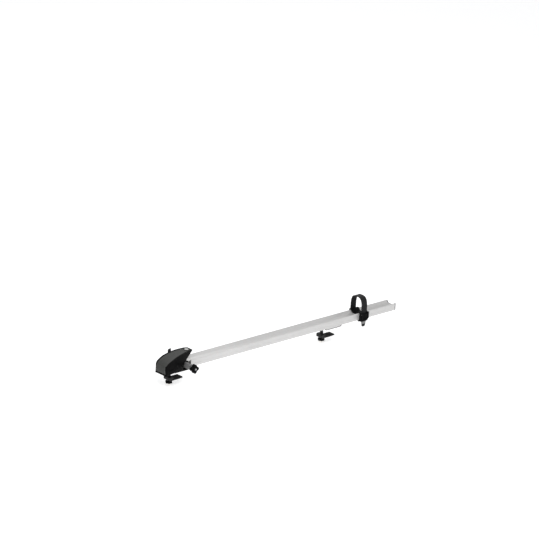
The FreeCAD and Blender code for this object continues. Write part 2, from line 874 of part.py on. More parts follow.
def make_washer(name, bar):
    """The steel washer between a jaw and its knob."""
    washer = new_body(name)
    add(
        washer, "XY", "jaw_bottom - washer_thickness", "jaw_bottom",
        ("-(bolt_forward)", "0", "washer_radius"),
        ("-(bolt_forward)", "0", "bolt_radius + bolt_clearance"),
    )
    move_to_bar(washer, bar)
    return washer


def make_clamp_knob(name, bar):
    """The lobed knob that is screwed up the bolt from below."""
    knob = new_body(name)
    high = "jaw_bottom - washer_thickness"
    low = f"{high} - knob_height"
    neck = f"{high} - knob_neck_height"
    lobe = lobes(knob, "XY", low, neck, "knob_radius", "knob_lobe_radius")
    ring_of(knob, lobe, "knob_lobe_count")
    add(knob, "XY", neck, high, ("0", "0", "knob_neck_radius"))
    cut(knob, "XY", low, high, ("0", "0", "insert_radius"))
    knob.Placement.Base = FreeCAD.Vector(size(bar) - size("bolt_forward"), 0, 0)
    return knob


def make_knob_nut(name, bar):
    """The threaded brass insert moulded in a knob."""
    nut = new_body(name)
    high = "jaw_bottom - washer_thickness"
    add(
        nut, "XY", f"{high} - knob_height", high,
        ("0", "0", "insert_radius"), ("0", "0", "bolt_radius + bolt_clearance"),
    )
    nut.Placement.Base = FreeCAD.Vector(size(bar) - size("bolt_forward"), 0, 0)
    return nut


def make_front_clamp_bolt():
    """The hexagon bolt that hangs from the head's floor."""
    bolt = new_body("front_clamp_bolt")
    floor = "base_pocket_floor"
    flat = "bolt_head_width / 2"
    corner = "(bolt_head_width / sqrt(3))"
    hexagon = [
        (corner, "0"), (f"{corner} / 2", flat), (f"-({corner}) / 2", flat),
        (f"-({corner})", "0"), (f"-({corner}) / 2", f"-({flat})"), (f"{corner} / 2", f"-({flat})"),
    ]
    add(bolt, "XY", floor, f"{floor} + bolt_head_height", hexagon)
    add(bolt, "XY", "bolt_bottom", floor, ("0", "0", "bolt_radius"))
    bolt.Placement.Base = FreeCAD.Vector(-size("bolt_forward"), 0, 0)
    return bolt


def make_rear_t_bolt():
    """The bolt whose oblong head slides in the rail's slot."""
    bolt = new_body("rear_t_bolt")
    low = "rail_bottom + slot_lip + slider_clearance"
    half = "slot_width / 2 - slider_clearance"
    long_half = "t_head_length / 2"
    add(
        bolt, "XY", low, f"{low} + t_head_height",
        box(f"-({long_half})", long_half, f"-({half})", half),
    )
    add(bolt, "XY", "bolt_bottom", low, ("0", "0", "bolt_radius"))
    bolt.Placement.Base = FreeCAD.Vector(size("rear_bar") - size("bolt_forward"), 0, 0)
    return bolt


def make_rear_saddle():
    """The aluminium block between the rail and the rear bar, keyed to the rail's slot."""
    saddle = new_body("rear_saddle")
    half = "saddle_width / 2"
    front = "-(bar_width / 2)"
    rear = "bar_width / 2"
    top = "rail_bottom - saddle_gap"
    add(saddle, "XY", "rear_pad_thickness", top, box(front, rear, f"-({half})", half))
    key = "slot_mouth_width / 2 - slider_clearance"
    wing = "slot_width / 2 - slider_clearance"
    neck = "rail_bottom + slot_lip + slider_clearance"
    start = f"{front} + key_setback"
    add(saddle, "XY", "rear_pad_thickness", neck, box(start, rear, f"-({key})", key))
    add(saddle, "XY", neck, f"{neck} + key_wing_height", box(start, rear, f"-({wing})", wing))
    move_to_bar(saddle, "rear_bar")
    return saddle


def make_rear_bar_pad():
    """The rubber under the rear saddle, turned up over the saddle's rear face."""
    pad = new_body("rear_bar_pad")
    half = "saddle_width / 2"
    front = "-(bar_width / 2)"
    rear = "bar_width / 2"
    add(pad, "XY", "0", "rear_pad_thickness", box(front, rear, f"-({half})", half))
    add(
        pad, "XY", "0", "rear_pad_lip_top",
        box(rear, f"{rear} + rear_pad_lip", f"-({half})", half),
    )
    move_to_bar(pad, "rear_bar")
    return pad


# Joint between head and rail
def spigot_low():
    """The lower face of the head's spigot in the rail's slot, as a formula."""
    return "rail_bottom + slot_lip + (slot_height - spigot_height) / 2"


def joint_screw_spots():
    """Where the joining screws stand along X."""
    return [f"base_rear + joint_screw_start + joint_screw_pitch * {step}" for step in (0, 1)]


def make_joint_screws():
    """The two screws that jack the head's spigot down on the lips of the rail's slot."""
    screws = []
    base = size(spigot_low() + " - joint_screw_head_height")
    neck = base + size("joint_screw_head_height")
    length = f"rail_bottom + slot_lip + slot_height - ({spigot_low()})"
    for number, spot in enumerate(joint_screw_spots(), start=1):
        head = doc.addObject("Part::Cylinder", f"screw_head_{number}")
        head.setExpression("Radius", formula("joint_screw_head_radius"))
        head.setExpression("Height", formula("joint_screw_head_height"))
        shank = doc.addObject("Part::Cylinder", f"screw_shank_{number}")
        shank.setExpression("Radius", formula("joint_screw_radius"))
        shank.setExpression("Height", formula(length))
        head.Placement.Base = FreeCAD.Vector(size(spot), 0, base)
        shank.Placement.Base = FreeCAD.Vector(size(spot), 0, neck)
        screw = doc.addObject("Part::Fuse", f"screw_{number}")
        screw.Base = head
        screw.Tool = shank
        screws.append(screw)
    group = doc.addObject("Part::Compound", "joint_screws")
    group.Links = screws
    group.Label = "joint_screws"
    return group


# Wheel holder
def holder_span():
    """The two ends of the wheel holder along X, as formulas."""
    return "holder_middle - holder_length / 2", "holder_middle + holder_length / 2"


def make_wheel_cradle():
    """The saddle over the rail, with a hollow bed; its feet hook under the rail."""
    cradle = new_body("wheel_cradle")
    gap = "holder_clearance"
    inner = f"rail_width / 2 + {gap}"
    outer = leg_face()
    toe = "rail_width / 2 - holder_foot_reach"
    foot_top = f"rail_bottom - {gap}"
    half = [
        ("0", f"trough_floor + {gap}"),
        (f"{floor_half()} - trough_margin", f"trough_floor + {gap}"),
        (f"{mouth_half()} - trough_margin", f"rail_top + {gap}"),
        (inner, f"rail_top + {gap}"),
        (inner, foot_top),
        (toe, foot_top),
        (toe, "holder_foot"),
        (f"{outer} - holder_corner", "holder_foot"),
        (outer, "holder_foot + holder_corner"),
        (outer, f"rail_top + {gap} + holder_wall - holder_corner"),
        (f"{outer} - holder_corner", f"rail_top + {gap} + holder_wall"),
        (f"{mouth_half()} - 3 * trough_margin", f"rail_top + {gap} + holder_wall"),
        (f"{floor_half()} - 3 * trough_margin", f"trough_floor + {gap} + holder_floor"),
        ("0", f"trough_floor + {gap} + holder_floor"),
    ]
    other = [(f"-({across})", up) for across, up in reversed(half[1:-1])]
    add(cradle, "YZ", *holder_span(), half + other)
    cut(cradle, "XZ", mouth_half(), strap_face(), *anchor_holes("plug_clearance"))
    return cradle


def anchor_holes(grow):
    """The two anchor screws' circles in X and Z, larger by a clearance."""
    radius = f"anchor_screw_radius + {grow}"
    spread = "anchor_screw_spread / 2"
    return [
        (f"holder_middle - {spread}", "anchor_screw_height", radius),
        (f"holder_middle + {spread}", "anchor_screw_height", radius),
    ]


def arch(inset):
    """The strap's path over its arch, as an outline in Y and Z."""
    half = f"({strap_face()} - {inset})"
    rise = f"(strap_top - {inset} - strap_bottom)"
    right = [(f"{half} * {across}", f"strap_bottom + {rise} * {up}") for across, up in STRAP_ARCH]
    return right + [(f"-({across})", up) for across, up in reversed(right)]


def make_wheel_strap():
    """The toothed strap in use: up from the buckle, over in an arch, down to its anchor."""
    strap = new_body("wheel_strap")
    middle = "holder_middle"
    half = "strap_width / 2"
    start, end = f"{middle} - {half}", f"{middle} + {half}"
    band = arch("0") + list(reversed(arch("strap_thickness")))
    add(strap, "YZ", start, end, band)
    face, thick = strap_face(), "strap_thickness"
    tail = box(f"-({face})", f"-({face}) + {thick}", "strap_tail", f"strap_bottom + {thick} / 3")
    add(strap, "YZ", start, end, tail)
    for step in range(int(SIZES["tooth_count"])):
        low = f"tooth_start + tooth_pitch * {step}"
        ridge = box(
            f"-({face} + tooth_height)", f"-({face}) + {thick} / 6",
            low, f"{low} + tooth_pitch / 2",
        )
        add(strap, "YZ", f"{start} + tooth_margin", f"{end} - tooth_margin", ridge)
    cut(strap, "XZ", leg_face(), f"{face} + {thick}", *anchor_holes("plug_clearance"))
    return strap


def make_buckle_frame():
    """The buckle's housing on the near leg, with a channel that the strap runs through."""
    frame = new_body("buckle_frame")
    middle = "holder_middle"
    half = "buckle_width / 2"
    outer = f"-({leg_face()} + buckle_depth)"
    add(
        frame, "XZ", outer, f"-({leg_face()})",
        box(f"{middle} - {half}", f"{middle} + {half}", "buckle_low", "buckle_high"),
    )
    corner = lambda middle, edge: (
        middle.y < size(outer) + 0.1 and abs(edge.tangentAt(edge.FirstParameter).y) < 0.1
    )
    round_edges(frame, "buckle_corner_radius", corner)
    lane = "(strap_width / 2 + strap_clearance)"
    deep = f"{strap_face()} + tooth_height + strap_clearance"
    cut(
        frame, "XY", "buckle_low", "buckle_high",
        box(f"{middle} - {lane}", f"{middle} + {lane}", f"-({deep})", f"-({leg_face()})"),
    )
    window = "buckle_window_width / 2"
    cut(
        frame, "XZ", outer, f"-({deep}) + tooth_height / 2",
        box(f"{middle} - {window}", f"{middle} + {window}", "buckle_window_low", "buckle_high"),
    )
    pin_out = f"-({leg_face()} + buckle_pin_depth)"
    cut(
        frame, "YZ", f"{middle} - {half}", f"{middle} + {half}",
        (pin_out, "buckle_pin_height", "buckle_pin_radius"),
    )
    return frame


def make_buckle_pin():
    """The pin across the buckle that its lever swings on."""
    pin = new_body("buckle_pin")
    half = "(buckle_width / 2 - pin_end_gap)"
    add(
        pin, "YZ", f"holder_middle - {half}", f"holder_middle + {half}",
        (f"-({leg_face()} + buckle_pin_depth)", "buckle_pin_height", "buckle_pin_radius"),
    )
    return pin


def make_buckle_lever():
    """The release lever: a barrel on the pin and a paddle that hangs down."""
    lever = new_body("buckle_lever")
    half = "(buckle_window_width / 2 - paddle_clearance)"
    out = f"-({leg_face()} + buckle_pin_depth)"
    start, end = f"holder_middle - {half}", f"holder_middle + {half}"
    add(lever, "YZ", start, end, (out, "buckle_pin_height", "paddle_radius"))
    front, high, thick = f"{out} - paddle_radius", "buckle_pin_height", "paddle_thickness"
    paddle = [
        (front, high),
        (f"{front} - {thick} / 3", f"{high} - paddle_length * 0.85"),
        (f"{front} - {thick}", f"{high} - paddle_length"),
        (f"{front} + {thick} / 6", f"{high} - paddle_length"),
        (f"{front} + {thick} * 0.7", f"{high} - paddle_length * 0.77"),
        (f"{front} + {thick}", high),
    ]
    add(lever, "YZ", start, end, paddle)
    cut(
        lever, "YZ", start, end,
        (out, "buckle_pin_height", "buckle_pin_radius + pin_clearance"),
    )
    return lever


def make_far_anchor():
    """The plate that holds the strap's fixed end on the far leg."""
    anchor = new_body("far_anchor")
    half = "anchor_width / 2"
    face = strap_face()
    add(
        anchor, "XZ", face, f"{face} + anchor_thickness",
        box(f"holder_middle - {half}", f"holder_middle + {half}", "anchor_low", "anchor_high"),
    )
    cut(anchor, "XZ", face, f"{face} + anchor_thickness", *anchor_holes("plug_clearance"))
    return anchor


def make_anchor_screws():
    """The two screws through the anchor, the strap and the cradle's leg."""
    screws = []
    face = size(f"{strap_face()} + anchor_thickness")
    length = f"{strap_face()} + anchor_thickness - ({leg_face()}) + holder_wall"
    along = FreeCAD.Rotation(FreeCAD.Vector(1, 0, 0), 90)
    for number, side in enumerate((-1, 1), start=1):
        across = size("holder_middle") + side * size("anchor_screw_spread") / 2
        height = size("anchor_screw_height")
        head = doc.addObject("Part::Cylinder", f"anchor_head_{number}")
        head.setExpression("Radius", formula("anchor_screw_head_radius"))
        head.setExpression("Height", formula("anchor_screw_head_height"))
        out = face + size("anchor_screw_head_height")
        head.Placement = FreeCAD.Placement(FreeCAD.Vector(across, out, height), along)
        shank = doc.addObject("Part::Cylinder", f"anchor_shank_{number}")
        shank.setExpression("Radius", formula("anchor_screw_radius"))
        shank.setExpression("Height", formula(length))
        shank.Placement = FreeCAD.Placement(FreeCAD.Vector(across, face, height), along)
        screw = doc.addObject("Part::Fuse", f"anchor_screw_{number}")
        screw.Base = head
        screw.Tool = shank
        screws.append(screw)
    group = doc.addObject("Part::Compound", "anchor_screws")
    group.Links = screws
    group.Label = "anchor_screws"
    return group


def build():
    """Make every piece, in the order of the carrier from front to rear."""
    pieces = [
        make_rail(),
        make_rear_end_cap(),
        make_head_base(),
        make_front_bar_pad(),
        make_hood(),
        make_hood_hinge_pin(),
        make_lock_cylinder(),
        make_lock_tongue(),
        make_axle_sleeve(),
        make_skewer_rod(),
        make_skewer_eye(),
        make_lever_pin(),
        make_lever_saddle(),
        make_skewer_lever(),
        make_nut_core(),
        make_adjusting_knob(),
        make_front_clamp_bolt(),
        make_rear_t_bolt(),
        make_rear_saddle(),
        make_rear_bar_pad(),
        make_joint_screws(),
        make_wheel_cradle(),
        make_wheel_strap(),
        make_buckle_frame(),
        make_buckle_pin(),
        make_buckle_lever(),
        make_far_anchor(),
        make_anchor_screws(),
    ]
    for end, bar in (("front", "0"), ("rear", "rear_bar")):
        width = end + "_jaw_width"
        pieces.append(make_jaw(end + "_jaw", bar, width))
        pieces.append(make_jaw_pad(end + "_jaw_pad", bar, width))
        pieces.append(make_washer(end + "_washer", bar))
        pieces.append(make_clamp_knob(end + "_clamp_knob", bar))
        pieces.append(make_knob_nut(end + "_knob_nut", bar))
    return pieces


def export(pieces):
    """Check each piece and write it as its own part file."""
    doc.recompute()
    failed = [item.Name for item in doc.Objects if {"Invalid", "Error"} & set(item.State)]
    if failed:
        raise ValueError("these did not build: " + ", ".join(failed))
    os.makedirs("parts", exist_ok=True)
    for piece in pieces:
        if piece.Shape.isNull() or not piece.Shape.isValid():
            raise ValueError(piece.Label + " has no valid shape")
        piece.Shape.exportStep(f"parts/{piece.Label}.step")
        box_now = piece.Shape.BoundBox
        print(
            piece.Label, len(piece.Shape.Solids), round(piece.Shape.Volume),
            [round(value, 1) for value in (box_now.XMin, box_now.XMax, box_now.YMin,
                                           box_now.YMax, box_now.ZMin, box_now.ZMax)],
        )


export(build())
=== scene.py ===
# %% [markdown]
# A roof rack carrier: a head with a skewer under a lockable hood, a long aluminium rail,
# and a toothed strap on a cradle at the rear. Two clamps hang below the rail.
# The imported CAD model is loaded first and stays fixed: each new piece is modelled where the
# CAD says it is, in metres, and then rides on the body that it belongs to.

# %% Load the frame
import bmesh
import bpy
import math
from mathutils import Matrix, Vector


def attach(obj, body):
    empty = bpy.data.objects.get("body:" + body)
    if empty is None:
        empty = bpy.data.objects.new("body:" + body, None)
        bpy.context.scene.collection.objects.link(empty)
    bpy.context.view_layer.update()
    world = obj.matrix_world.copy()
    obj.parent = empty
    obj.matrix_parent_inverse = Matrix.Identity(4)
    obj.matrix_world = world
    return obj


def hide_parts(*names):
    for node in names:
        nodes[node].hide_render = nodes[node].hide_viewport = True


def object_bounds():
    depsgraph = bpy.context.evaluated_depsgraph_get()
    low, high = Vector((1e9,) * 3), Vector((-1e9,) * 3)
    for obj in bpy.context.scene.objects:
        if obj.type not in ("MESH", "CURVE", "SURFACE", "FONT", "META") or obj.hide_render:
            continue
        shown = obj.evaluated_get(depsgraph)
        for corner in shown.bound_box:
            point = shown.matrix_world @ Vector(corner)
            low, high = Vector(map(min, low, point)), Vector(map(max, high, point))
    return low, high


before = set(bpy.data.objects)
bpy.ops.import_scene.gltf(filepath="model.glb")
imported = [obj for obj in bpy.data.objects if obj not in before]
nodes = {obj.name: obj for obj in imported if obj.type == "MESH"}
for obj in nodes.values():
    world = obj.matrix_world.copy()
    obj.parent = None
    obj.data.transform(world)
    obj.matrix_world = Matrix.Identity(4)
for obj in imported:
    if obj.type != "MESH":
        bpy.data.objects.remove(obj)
cad_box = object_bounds()
scene = bpy.context.scene
scene.view_settings.view_transform = "Standard"
MM = 0.001
print("CAD nodes:", len(nodes))

# %% [markdown]
# The camera stands far off with a long lens, so the picture is nearly parallel.
# Its angles were found from the picture itself: the slope of the rail's edges and the
# shapes of round pieces say where it stood. It is built from three directions, right, up
# and back, because a slight roll is easier to give there than in rotation angles.

# %% Camera
CAMERA_AZIMUTH = math.radians(-43.7)
CAMERA_HEIGHT = math.radians(20.2)
CAMERA_ROLL = math.radians(3.35)
CAMERA_DISTANCE = 21.642
LOOK_AT = Vector((0.472, 0.0, 0.329))

back = Vector((
    math.sin(CAMERA_AZIMUTH) * math.cos(CAMERA_HEIGHT),
    -math.cos(CAMERA_AZIMUTH) * math.cos(CAMERA_HEIGHT),
    math.sin(CAMERA_HEIGHT),
))
level_right = Vector((math.cos(CAMERA_AZIMUTH), math.sin(CAMERA_AZIMUTH), 0.0))
level_up = back.cross(level_right)
right = level_right * math.cos(CAMERA_ROLL) + level_up * math.sin(CAMERA_ROLL)
up = level_up * math.cos(CAMERA_ROLL) - level_right * math.sin(CAMERA_ROLL)

bpy.ops.object.camera_add()
camera = bpy.context.object
camera.name = "camera"
camera.data.lens = 357.2
camera.data.sensor_width = 36.0
camera.data.clip_end = 100.0
turn = Matrix((right, up, back)).transposed().to_4x4()
camera.matrix_world = Matrix.Translation(LOOK_AT + back * CAMERA_DISTANCE) @ turn
scene.camera = camera
print("camera at", [round(v, 2) for v in camera.matrix_world.translation])

# %% [markdown]
# A white studio: a plain floor 8 mm under the lowest piece, because the clamp knobs come down
# by nearly that when they are unscrewed, and a world that the camera sees as white. Light
# Path tells the world when the camera or a glossy surface looks at it, so the background is
# white while the sky that lights the carrier stays soft and dim.

# %% Floor and world
FLOOR_GAP = 8
FLOOR_HEIGHT = cad_box[0].z - FLOOR_GAP * MM
bpy.ops.mesh.primitive_circle_add(
    vertices=64, radius=9.0, fill_type="NGON", location=(0.5, 0.0, FLOOR_HEIGHT),
)
floor = bpy.context.object
floor.name = "floor"
floor.data.transform(floor.matrix_world)
floor.matrix_world = Matrix.Identity(4)

floor_paint = bpy.data.materials.new("floor_paint")
floor_paint.use_nodes = True
floor_shader = floor_paint.node_tree.nodes["Principled BSDF"]
floor_shader.inputs["Base Color"].default_value = (0.9, 0.9, 0.9, 1.0)
floor_shader.inputs["Roughness"].default_value = 0.9
floor_shader.inputs["Emission Color"].default_value = (1.0, 1.0, 1.0, 1.0)
floor_shader.inputs["Emission Strength"].default_value = 0.56
floor.data.materials.append(floor_paint)

world = bpy.data.worlds.new("studio")
scene.world = world
world.use_nodes = True
tree = world.node_tree
tree.nodes.clear()
light_path = tree.nodes.new("ShaderNodeLightPath")
seen = tree.nodes.new("ShaderNodeMath")
seen.operation = "MAXIMUM"
soft_sky = tree.nodes.new("ShaderNodeBackground")
soft_sky.inputs["Color"].default_value = (0.97, 0.98, 1.0, 1.0)
soft_sky.inputs["Strength"].default_value = 0.4
white_sky = tree.nodes.new("ShaderNodeBackground")
white_sky.inputs["Color"].default_value = (1.0, 1.0, 1.0, 1.0)
white_sky.inputs["Strength"].default_value = 1.0
either = tree.nodes.new("ShaderNodeMixShader")
result = tree.nodes.new("ShaderNodeOutputWorld")
tree.links.new(light_path.outputs["Is Camera Ray"], seen.inputs[0])
tree.links.new(light_path.outputs["Is Glossy Ray"], seen.inputs[1])
tree.links.new(seen.outputs[0], either.inputs["Fac"])
tree.links.new(soft_sky.outputs[0], either.inputs[1])
tree.links.new(white_sky.outputs[0], either.inputs[2])
tree.links.new(either.outputs[0], result.inputs["Surface"])

# %% [markdown]
# Plain soft light: a large lamp high on the camera's side, a weaker one on its right, and
# one behind that draws the edges. Area lamps give the soft shadows of a studio.

# %% Lamps
CARRIER_MIDDLE = Vector((0.5, 0.0, 0.0))


def add_lamp(name, place, size_across, power):
    """A square soft lamp at a place, aimed at the middle of the carrier."""
    bpy.ops.object.light_add(type="AREA", location=place)
    lamp = bpy.context.object
    lamp.name = name
    lamp.data.size = size_across
    lamp.data.energy = power
    aim = CARRIER_MIDDLE - Vector(place)
    lamp.rotation_euler = aim.to_track_quat("-Z", "Y").to_euler()


add_lamp("key_lamp", (-1.1, -1.9, 3.5), 2.4, 60.0)
add_lamp("fill_lamp", (2.2, -3.0, 1.8), 2.4, 11.0)
add_lamp("back_lamp", (0.8, 2.2, 3.2), 2.0, 26.0)

# %% [markdown]
# Effects that several finishes share are node groups with named inputs. The first is a fine
# moulded grain: small noise that gives both a height for Bump and a slow change of tone.
# It could be an image texture, but noise on Object coordinates has no seams and no files.

# %% Helpers for materials
def new_group(name, inputs, outputs):
    """An empty shader node group with named sockets."""
    group = bpy.data.node_groups.new(name, "ShaderNodeTree")
    for label, kind, value in inputs:
        socket = group.interface.new_socket(name=label, in_out="INPUT", socket_type=kind)
        socket.default_value = value
    for label, kind in outputs:
        group.interface.new_socket(name=label, in_out="OUTPUT", socket_type=kind)
    start = group.nodes.new("NodeGroupInput")
    end = group.nodes.new("NodeGroupOutput")
    return group, start, end


def math_node(group, operation, first, second):
    """A Math node whose inputs are sockets or numbers."""
    node = group.nodes.new("ShaderNodeMath")
    node.operation = operation
    for index, value in enumerate((first, second)):
        if isinstance(value, (int, float)):
            node.inputs[index].default_value = value
        else:
            group.links.new(value, node.inputs[index])
    return node.outputs[0]


def tone(group, first, second, factor):
    """A colour between two colours, by a factor socket."""
    node = group.nodes.new("ShaderNodeMix")
    node.data_type = "RGBA"
    for index, value in ((6, first), (7, second)):
        if isinstance(value, tuple):
            node.inputs[index].default_value = (*value, 1.0)
        else:
            group.links.new(value, node.inputs[index])
    group.links.new(factor, node.inputs[0])
    return node.outputs[2]


def make_grain_group():
    """Fine noise for height and slow noise for tone, at scales that are given."""
    group, start, end = new_group(
        "moulded_grain",
        [("Fine Scale", "NodeSocketFloat", 900.0), ("Slow Scale", "NodeSocketFloat", 18.0)],
        [("Height", "NodeSocketFloat"), ("Tone", "NodeSocketFloat")],
    )
    place = group.nodes.new("ShaderNodeTexCoord")
    fine = group.nodes.new("ShaderNodeTexNoise")
    slow = group.nodes.new("ShaderNodeTexNoise")
    fine.inputs["Detail"].default_value = 3.0
    slow.inputs["Detail"].default_value = 4.0
    for noise, label in ((fine, "Fine Scale"), (slow, "Slow Scale")):
        group.links.new(place.outputs["Object"], noise.inputs["Vector"])
        group.links.new(start.outputs[label], noise.inputs["Scale"])
    group.links.new(fine.outputs["Fac"], end.inputs["Height"])
    group.links.new(slow.outputs["Fac"], end.inputs["Tone"])
    return group


grain_group = make_grain_group()

# %% [markdown]
# Edges that hands and tools touch lose their sharp black first. Geometry's Pointiness finds
# them, and noise breaks the line up so that it doesn't look drawn.

# %% Worn edges
def make_wear_group():
    """A mask of convex edges, broken by noise."""
    group, start, end = new_group(
        "worn_edges",
        [("Amount", "NodeSocketFloat", 0.5), ("Patch Scale", "NodeSocketFloat", 120.0)],
        [("Mask", "NodeSocketFloat")],
    )
    shape = group.nodes.new("ShaderNodeNewGeometry")
    place = group.nodes.new("ShaderNodeTexCoord")
    patches = group.nodes.new("ShaderNodeTexNoise")
    group.links.new(place.outputs["Object"], patches.inputs["Vector"])
    group.links.new(start.outputs["Patch Scale"], patches.inputs["Scale"])
    edge = group.nodes.new("ShaderNodeMapRange")
    edge.inputs["From Min"].default_value = 0.51
    edge.inputs["From Max"].default_value = 0.6
    group.links.new(shape.outputs["Pointiness"], edge.inputs["Value"])
    broken = math_node(group, "MULTIPLY", edge.outputs["Result"], patches.outputs["Fac"])
    mask = math_node(group, "MULTIPLY", broken, start.outputs["Amount"])
    group.links.new(mask, end.inputs["Mask"])
    return group


wear_group = make_wear_group()

# %% [markdown]
# An extruded and anodised bar carries faint lines along its length, left by the die, and
# slow cloudy changes of grey. The noise is stretched along X by a Mapping node: many lines
# across, few changes along.

# %% Die lines
def make_die_line_group():
    """Noise that is stretched along X: a height and a tone."""
    group, start, end = new_group(
        "die_lines",
        [("Lines Per Metre", "NodeSocketFloat", 700.0)],
        [("Height", "NodeSocketFloat"), ("Tone", "NodeSocketFloat")],
    )
    place = group.nodes.new("ShaderNodeTexCoord")
    stretch = group.nodes.new("ShaderNodeMapping")
    stretch.inputs["Scale"].default_value = (0.004, 1.0, 1.0)
    lines = group.nodes.new("ShaderNodeTexNoise")
    lines.inputs["Detail"].default_value = 2.0
    clouds = group.nodes.new("ShaderNodeTexNoise")
    clouds.inputs["Scale"].default_value = 6.0
    group.links.new(place.outputs["Object"], stretch.inputs["Vector"])
    group.links.new(stretch.outputs["Vector"], lines.inputs["Vector"])
    group.links.new(start.outputs["Lines Per Metre"], lines.inputs["Scale"])
    group.links.new(place.outputs["Object"], clouds.inputs["Vector"])
    group.links.new(lines.outputs["Fac"], end.inputs["Height"])
    both = math_node(group, "ADD", lines.outputs["Fac"], clouds.outputs["Fac"])
    group.links.new(math_node(group, "MULTIPLY", both, 0.5), end.inputs["Tone"])
    return group


die_line_group = make_die_line_group()

# %% [markdown]
# Every finish is one Principled shader with the same four parts: a dark and a light tone
# mixed by a texture, a worn colour on the edges, a roughness that follows the tone and a
# bump from the height. Writing that once keeps the finishes easy to compare.

# %% One builder for the finishes
def make_finish(name, texture, dark, light, rough, worn=None, wear=0.0, metal=0.0, bump=0.15,
                values=(), shine=0.5):
    """A material from a texture group, two tones, a roughness range and worn edges."""
    material = bpy.data.materials.new(name)
    material.use_nodes = True
    tree = material.node_tree
    shader = tree.nodes["Principled BSDF"]
    shader.inputs["Metallic"].default_value = metal
    shader.inputs["Specular IOR Level"].default_value = shine
    pattern = tree.nodes.new("ShaderNodeGroup")
    pattern.node_tree = texture
    for label, value in values:
        pattern.inputs[label].default_value = value
    colour = tone(tree, dark, light, pattern.outputs["Tone"])
    if worn:
        edges = tree.nodes.new("ShaderNodeGroup")
        edges.node_tree = wear_group
        edges.inputs["Amount"].default_value = wear
        colour = tone(tree, colour, worn, edges.outputs["Mask"])
    tree.links.new(colour, shader.inputs["Base Color"])
    spread = tree.nodes.new("ShaderNodeMapRange")
    spread.inputs["From Min"].default_value = 0.25
    spread.inputs["From Max"].default_value = 0.75
    spread.inputs["To Min"].default_value = rough[0]
    spread.inputs["To Max"].default_value = rough[1]
    tree.links.new(pattern.outputs["Tone"], spread.inputs["Value"])
    tree.links.new(spread.outputs["Result"], shader.inputs["Roughness"])
    relief = tree.nodes.new("ShaderNodeBump")
    relief.inputs["Strength"].default_value = bump
    relief.inputs["Distance"].default_value = 0.0005
    tree.links.new(pattern.outputs["Height"], relief.inputs["Height"])
    tree.links.new(relief.outputs["Normal"], shader.inputs["Normal"])
    return material


anodised = make_finish(
    "anodised_aluminium", die_line_group, (0.495, 0.489, 0.482), (0.72, 0.713, 0.705), (0.34, 0.46),
    worn=(0.85, 0.845, 0.84), wear=0.4, metal=0.3, bump=0.12,
)
black_moulding = make_finish(
    "black_moulding", grain_group, (0.0015, 0.0015, 0.0016), (0.004, 0.004, 0.0043), (0.4, 0.56),
    worn=(0.03, 0.03, 0.03), wear=0.5, bump=0.25, shine=0.035,
)
grey_skin = make_finish(
    "grey_textured_skin", grain_group, (0.018, 0.0195, 0.018), (0.074, 0.075, 0.071), (0.5, 0.68),
    worn=(0.2, 0.2, 0.2), wear=0.4, bump=0.5, values=(("Fine Scale", 650.0), ("Slow Scale", 70.0)),
    shine=0.25,
)
black_casting = make_finish(
    "black_casting", grain_group, (0.003, 0.003, 0.0035), (0.008, 0.008, 0.0085), (0.36, 0.52),
    worn=(0.09, 0.09, 0.09), wear=0.5, bump=0.3, values=(("Fine Scale", 500.0),), shine=0.16,
)
soft_rubber = make_finish(
    "soft_rubber", grain_group, (0.008, 0.008, 0.008), (0.016, 0.016, 0.016), (0.72, 0.88),
    bump=0.2, shine=0.25,
)
grey_casting = make_finish(
    "grey_casting", grain_group, (0.17, 0.17, 0.17), (0.25, 0.25, 0.25), (0.38, 0.52),
    worn=(0.4, 0.4, 0.4), wear=0.5, metal=0.4, bump=0.2,
)
zinc_steel = make_finish(
    "zinc_steel", grain_group, (0.42, 0.42, 0.43), (0.58, 0.58, 0.58), (0.24, 0.4),
    worn=(0.75, 0.75, 0.75), wear=0.4, metal=0.9, bump=0.08,
)
dark_steel = make_finish(
    "dark_steel", grain_group, (0.03, 0.03, 0.032), (0.06, 0.06, 0.06), (0.4, 0.55),
    worn=(0.3, 0.3, 0.3), wear=0.4, metal=0.6, bump=0.08,
)
satin_nickel = make_finish(
    "satin_nickel", grain_group, (0.52, 0.52, 0.51), (0.66, 0.66, 0.65), (0.26, 0.36),
    metal=0.7, bump=0.05,
)
turned_brass = make_finish(
    "turned_brass", grain_group, (0.55, 0.40, 0.16), (0.68, 0.52, 0.24), (0.28, 0.4),
    metal=0.9, bump=0.08,
)
cap_moulding = make_finish(
    "cap_moulding", grain_group, (0.07, 0.071, 0.073), (0.11, 0.112, 0.114), (0.5, 0.62),
    worn=(0.4, 0.4, 0.4), wear=0.3, bump=0.3,
)
strap_skin = make_finish(
    "strap_skin", grain_group, (0.007, 0.007, 0.0075), (0.015, 0.015, 0.016), (0.5, 0.66),
    worn=(0.06, 0.06, 0.06), wear=0.4, bump=0.2, shine=0.15,
)
# This pale grey on the strap's tail is a painted highlight on the black strap.
tail_painted_highlight = make_finish(
    "strap_tail_painted_highlight", grain_group, (0.28, 0.28, 0.28), (0.36, 0.36, 0.36), (0.5, 0.66), bump=0.2,
)

# %% [markdown]
# Small tools for modelling. An outline is a filled circle with one corner for each point,
# whose corners are then moved to their places. Faces are picked by their place or normal, in
# edit mode. A modifier is applied as soon as it is added, so that later steps work on real
# faces.

# %% Modelling tools
def take_none():
    """Leaves edit mode and deselects everything."""
    if bpy.context.object and bpy.context.object.mode != "OBJECT":
        bpy.ops.object.mode_set(mode="OBJECT")
    bpy.ops.object.select_all(action="DESELECT")


def take(piece):
    """Makes a piece the only one selected, in object mode."""
    take_none()
    piece.select_set(True)
    bpy.context.view_layer.objects.active = piece


